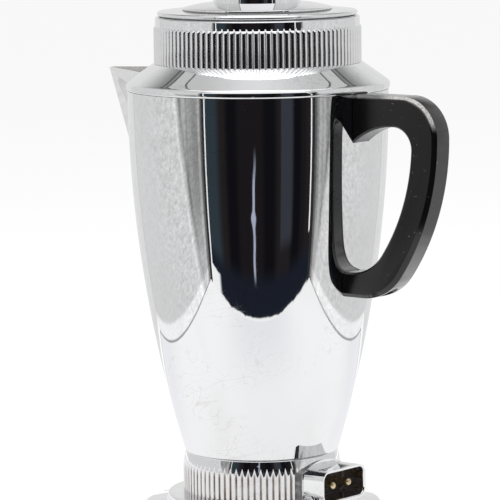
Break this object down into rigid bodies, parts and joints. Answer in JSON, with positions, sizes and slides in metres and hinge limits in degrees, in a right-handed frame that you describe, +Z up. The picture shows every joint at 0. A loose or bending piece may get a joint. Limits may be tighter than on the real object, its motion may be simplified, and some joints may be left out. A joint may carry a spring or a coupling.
{
  "type": "electric coffee percolator",
  "caption": "Tapered chrome electric coffee percolator with reeded neck and base, beak spout, black D handle, stepped lid with glass knob, lift-out pump and basket, and a pin inlet at the foot.",
  "frame": {"origin": "on the pot's axis, on the table that the pad stands on", "axes": "+Z up along the pot's axis, +X towards the handle and the inlet, the spout at -X"},
  "size_m": [0.2166, 0.1346, 0.2991],
  "materials": {
    "chrome": "polished chrome plate, lightly scratched",
    "phenolic": "worn gloss black phenolic",
    "steel": "plated steel",
    "brass": "dull brass",
    "rubber": "matt black rubber",
    "fibre_board": "pale fibre board",
    "insulator": "dark brown phenolic",
    "heater": "mica wrap",
    "aluminium": "dull spun aluminium",
    "glass": "clear pressed glass"
  },
  "bodies": {
    "pot": {"body_shell": "chrome", "shoulder": "chrome", "neck_collar": "chrome", "spout": "chrome", "base_ring": "chrome", "foot": "chrome", "inlet_shroud": "chrome", "handle": "phenolic", "handle_upper_screw": "steel", "handle_lower_screw": "steel", "handle_lower_washer": "steel", "base_stud": "steel", "base_washer": "steel", "base_nut": "steel", "clamp_screw": "steel", "clamp_nut": "steel", "heater_clamp": "steel", "bottom_cover": "steel", "vessel_floor": "steel", "handle_lower_stud": "steel", "handle_insert": "brass", "inlet_pins": "brass", "pin_nuts": "brass", "supply_strips": "brass", "handle_seal_washer": "rubber", "base_pad": "rubber", "heat_shield": "fibre_board", "inlet_insulator": "insulator", "heater_band": "heater"},
    "pump": {"pump_stem": "aluminium", "pump_bell": "aluminium", "valve_seat": "aluminium", "stem_stop": "aluminium"},
    "valve": {"pump_valve": "aluminium"},
    "basket": {"coffee_basket": "aluminium"},
    "spreader": {"spreader_plate": "aluminium"},
    "lid": {"lid": "chrome", "lid_skirt": "steel", "knob_drum": "chrome"},
    "knob": {"glass_knob": "glass"}
  },
  "joints": [
    {"name": "lid_lift", "type": "slide", "parent": "pot", "child": "lid", "axis": [0, 0, 1], "range_m": [0, 0.33]},
    {"name": "spreader_lift", "type": "slide", "parent": "pot", "child": "spreader", "axis": [0, 0, 1], "range_m": [0, 0.322]},
    {"name": "basket_lift", "type": "slide", "parent": "pot", "child": "basket", "axis": [0, 0, 1], "range_m": [0, 0.313]},
    {"name": "pump_lift", "type": "slide", "parent": "pot", "child": "pump", "axis": [0, 0, 1], "range_m": [0, 0.235]},
    {"name": "valve_play", "type": "slide", "parent": "pump", "child": "valve", "axis": [0, 0, 1], "range_m": [0, 0.002]},
    {"name": "knob_turn", "type": "hinge", "parent": "lid", "child": "knob", "pos_m": [0, 0, 0.27], "axis": [0, 0, 1], "range_deg": [0, 90]}
  ],
  "couplings": [
    {"joint": "spreader_lift", "follows": "lid_lift", "ratio": 0.97576},
    {"joint": "basket_lift", "follows": "lid_lift", "ratio": 0.94848},
    {"joint": "pump_lift", "follows": "lid_lift", "ratio": 0.71212}
  ]
}
